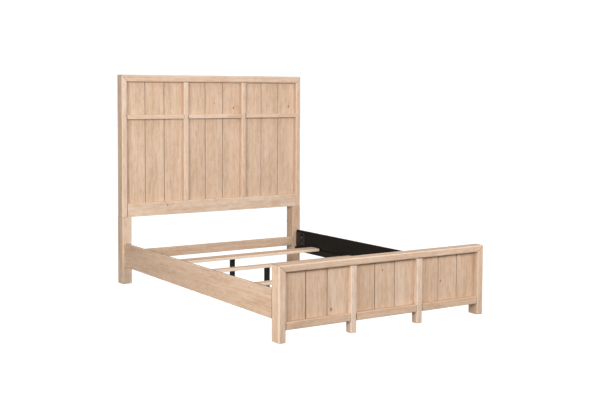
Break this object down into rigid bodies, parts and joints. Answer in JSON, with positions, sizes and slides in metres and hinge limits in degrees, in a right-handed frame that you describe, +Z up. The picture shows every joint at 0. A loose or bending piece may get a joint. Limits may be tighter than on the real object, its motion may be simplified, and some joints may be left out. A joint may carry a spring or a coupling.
{
  "type": "wooden bed frame",
  "caption": "Queen-size panel bed frame in limed wood with planked headboard and footboard, side rails, slats on black ledgers and support legs.",
  "frame": {"origin": "middle of the bed's footprint, on the floor", "axes": "+X across the bed to the right seen from the foot, +Y along the bed towards the headboard, +Z up"},
  "size_m": [1.65, 2.244, 1.609],
  "materials": {
    "limed_wood": "limed pale oak tone, brushed grain, satin lacquer",
    "slat_pine": "planed bare pine",
    "black_paint": "black paint on wood, satin",
    "black_steel": "black powder coat",
    "zinc_steel": "zinc plated",
    "foot_rubber": "matt black moulded foot"
  },
  "bodies": {
    "bed_frame": {"footboard_bottom_rail_centre": "limed_wood", "footboard_bottom_rail_left": "limed_wood", "footboard_bottom_rail_right": "limed_wood", "footboard_mid_leg_left": "limed_wood", "footboard_mid_leg_right": "limed_wood", "footboard_plank_1": "limed_wood", "footboard_plank_2": "limed_wood", "footboard_plank_3": "limed_wood", "footboard_plank_4": "limed_wood", "footboard_plank_5": "limed_wood", "footboard_plank_6": "limed_wood", "footboard_plank_7": "limed_wood", "footboard_plank_8": "limed_wood", "footboard_plank_9": "limed_wood", "footboard_post_left": "limed_wood", "footboard_post_right": "limed_wood", "footboard_top_rail": "limed_wood", "headboard_bottom_rail": "limed_wood", "headboard_cross_rail": "limed_wood", "headboard_leg_left": "limed_wood", "headboard_leg_right": "limed_wood", "headboard_mid_rail_centre": "limed_wood", "headboard_mid_rail_left": "limed_wood", "headboard_mid_rail_right": "limed_wood", "headboard_mullion_left": "limed_wood", "headboard_mullion_right": "limed_wood", "headboard_plank_1": "limed_wood", "headboard_plank_2": "limed_wood", "headboard_plank_3": "limed_wood", "headboard_plank_4": "limed_wood", "headboard_plank_5": "limed_wood", "headboard_plank_6": "limed_wood", "headboard_plank_7": "limed_wood", "headboard_plank_8": "limed_wood", "headboard_plank_9": "limed_wood", "headboard_stile_left": "limed_wood", "headboard_stile_right": "limed_wood", "headboard_top_rail": "limed_wood", "rail_bolts_foot_left": "zinc_steel", "rail_bolts_foot_right": "zinc_steel", "rail_bolts_head_left": "zinc_steel", "rail_bolts_head_right": "zinc_steel", "rail_plate_foot_left": "black_steel", "rail_plate_foot_right": "black_steel", "rail_plate_head_left": "black_steel", "rail_plate_head_right": "black_steel", "side_rail_left": "limed_wood", "side_rail_right": "limed_wood", "slat_1": "slat_pine", "slat_2": "slat_pine", "slat_3": "slat_pine", "slat_ledger_left": "black_paint", "slat_ledger_right": "black_paint", "support_leg_1": "black_paint", "support_leg_2": "black_paint", "support_leg_3": "black_paint"},
    "leveller_1_body": {"leveller_1": "foot_rubber"},
    "leveller_2_body": {"leveller_2": "foot_rubber"},
    "leveller_3_body": {"leveller_3": "foot_rubber"}
  },
  "joints": [
    {"name": "leveller_1_screw", "type": "slide", "parent": "bed_frame", "child": "leveller_1_body", "axis": [0, 0, 1], "range_m": [-0.012, 0.01]},
    {"name": "leveller_2_screw", "type": "slide", "parent": "bed_frame", "child": "leveller_2_body", "axis": [0, 0, 1], "range_m": [-0.012, 0.01]},
    {"name": "leveller_3_screw", "type": "slide", "parent": "bed_frame", "child": "leveller_3_body", "axis": [0, 0, 1], "range_m": [-0.012, 0.01]}
  ]
}
